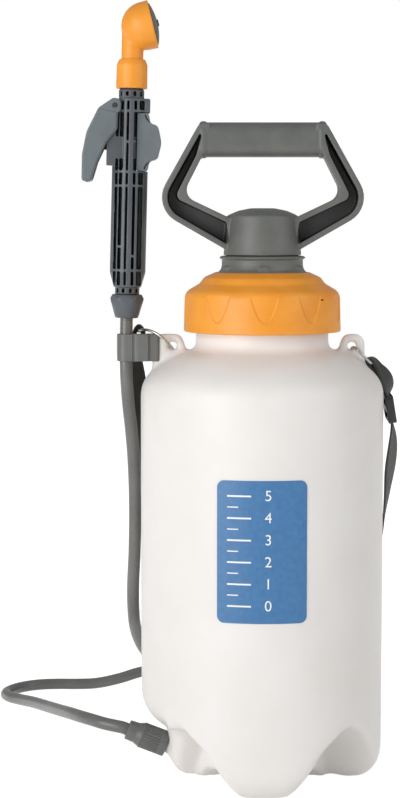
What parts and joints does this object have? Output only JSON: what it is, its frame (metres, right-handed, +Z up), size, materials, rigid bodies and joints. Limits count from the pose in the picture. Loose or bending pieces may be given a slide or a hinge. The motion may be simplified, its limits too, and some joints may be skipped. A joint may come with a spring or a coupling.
{
  "type": "camp shower pump",
  "caption": "Upright pressure bottle with a plunger pump under a D handle, a screw collar, a carrying strap and a hose to a parked trigger shower wand.",
  "frame": {"origin": "on the ground below the bottle's axis, between the feet", "axes": "+Z up along the bottle, +Y away from the side with the front panel, -X towards the parked wand"},
  "size_m": [0.3186, 0.3719, 0.5685],
  "materials": {
    "milky": "satin",
    "grey": "satin",
    "rubber": "matte",
    "steel": "satin",
    "red": "gloss",
    "orange": "satin",
    "pale": "satin",
    "wand_grey": "satin",
    "lever_grey": "satin",
    "black": "satin",
    "webbing": "woven",
    "hose": "satin"
  },
  "bodies": {
    "bottle": {"tank": "milky", "relief_body": "grey", "relief_cap": "grey", "relief_spring": "steel", "outlet_seal": "rubber", "outlet_tail": "grey", "outlet_nut": "grey", "wand_clip": "grey", "wand_tail": "grey", "wand_nut": "wand_grey", "wand_body": "wand_grey", "trigger_pin": "steel", "valve_spring": "steel", "valve_cap": "lever_grey", "rose_nut": "orange", "ring_left": "steel", "ring_right": "steel", "strap": "webbing", "strap_slider": "black", "hose_lower": "hose", "hose_coil": "hose", "hose_upper": "hose", "hose_tie": "rubber"},
    "pump": {"neck_seal": "rubber", "pump_barrel": "pale", "pump_gland": "grey", "rod_wiper": "rubber", "check_cage": "pale"},
    "collar": {"collar": "orange"},
    "check": {"check_disc": "rubber"},
    "plunger": {"piston": "pale", "piston_ring": "rubber"},
    "handle": {"pump_handle": "grey", "piston_rod": "steel"},
    "lever": {"trigger": "lever_grey"},
    "stem": {"valve_stem": "rubber", "valve_seal": "rubber"},
    "rose": {"rose_elbow": "orange", "rose_plate": "grey", "rose_plug": "black"},
    "relief": {"relief_knob": "red", "relief_seal": "rubber"}
  },
  "joints": [
    {"name": "pump_lift", "type": "slide", "parent": "bottle", "child": "pump", "axis": [0, 0, 1], "range_m": [0, 0.26]},
    {"name": "collar_turn", "type": "hinge", "parent": "pump", "child": "collar", "pos_m": [0, 0, 0.35], "axis": [0, 0, 1], "continuous": true},
    {"name": "check_open", "type": "slide", "parent": "pump", "child": "check", "axis": [0, 0, -1], "range_m": [0, 0.0015], "stiffness_N_per_m": 40},
    {"name": "pump_stroke", "type": "slide", "parent": "pump", "child": "plunger", "axis": [0, 0, 1], "range_m": [0, 0.16]},
    {"name": "handle_turn", "type": "hinge", "parent": "plunger", "child": "handle", "pos_m": [0, 0, 0.4], "axis": [0, 0, 1], "range_deg": [0, 90]},
    {"name": "trigger_squeeze", "type": "hinge", "parent": "bottle", "child": "lever", "pos_m": [-0.10671, 0, 0.49294], "axis": [0, -1, 0], "range_deg": [0, 11], "stiffness_Nm_per_rad": 1.5},
    {"name": "valve_open", "type": "slide", "parent": "bottle", "child": "stem", "axis": [0.9997, 0, -0.0253], "range_m": [0, 0.0072], "deforming": ["valve_spring"]},
    {"name": "rose_swivel", "type": "hinge", "parent": "bottle", "child": "rose", "pos_m": [-0.0992, 0, 0.339], "axis": [0.0253, 0, 0.9997], "continuous": true},
    {"name": "relief_pull", "type": "slide", "parent": "bottle", "child": "relief", "axis": [0, 0, 1], "range_m": [0, 0.003], "stiffness_N_per_m": 800, "deforming": ["relief_spring"]}
  ],
  "couplings": [
    {"joint": "valve_open", "follows": "trigger_squeeze", "m_per_rad": 0.0355}
  ]
}
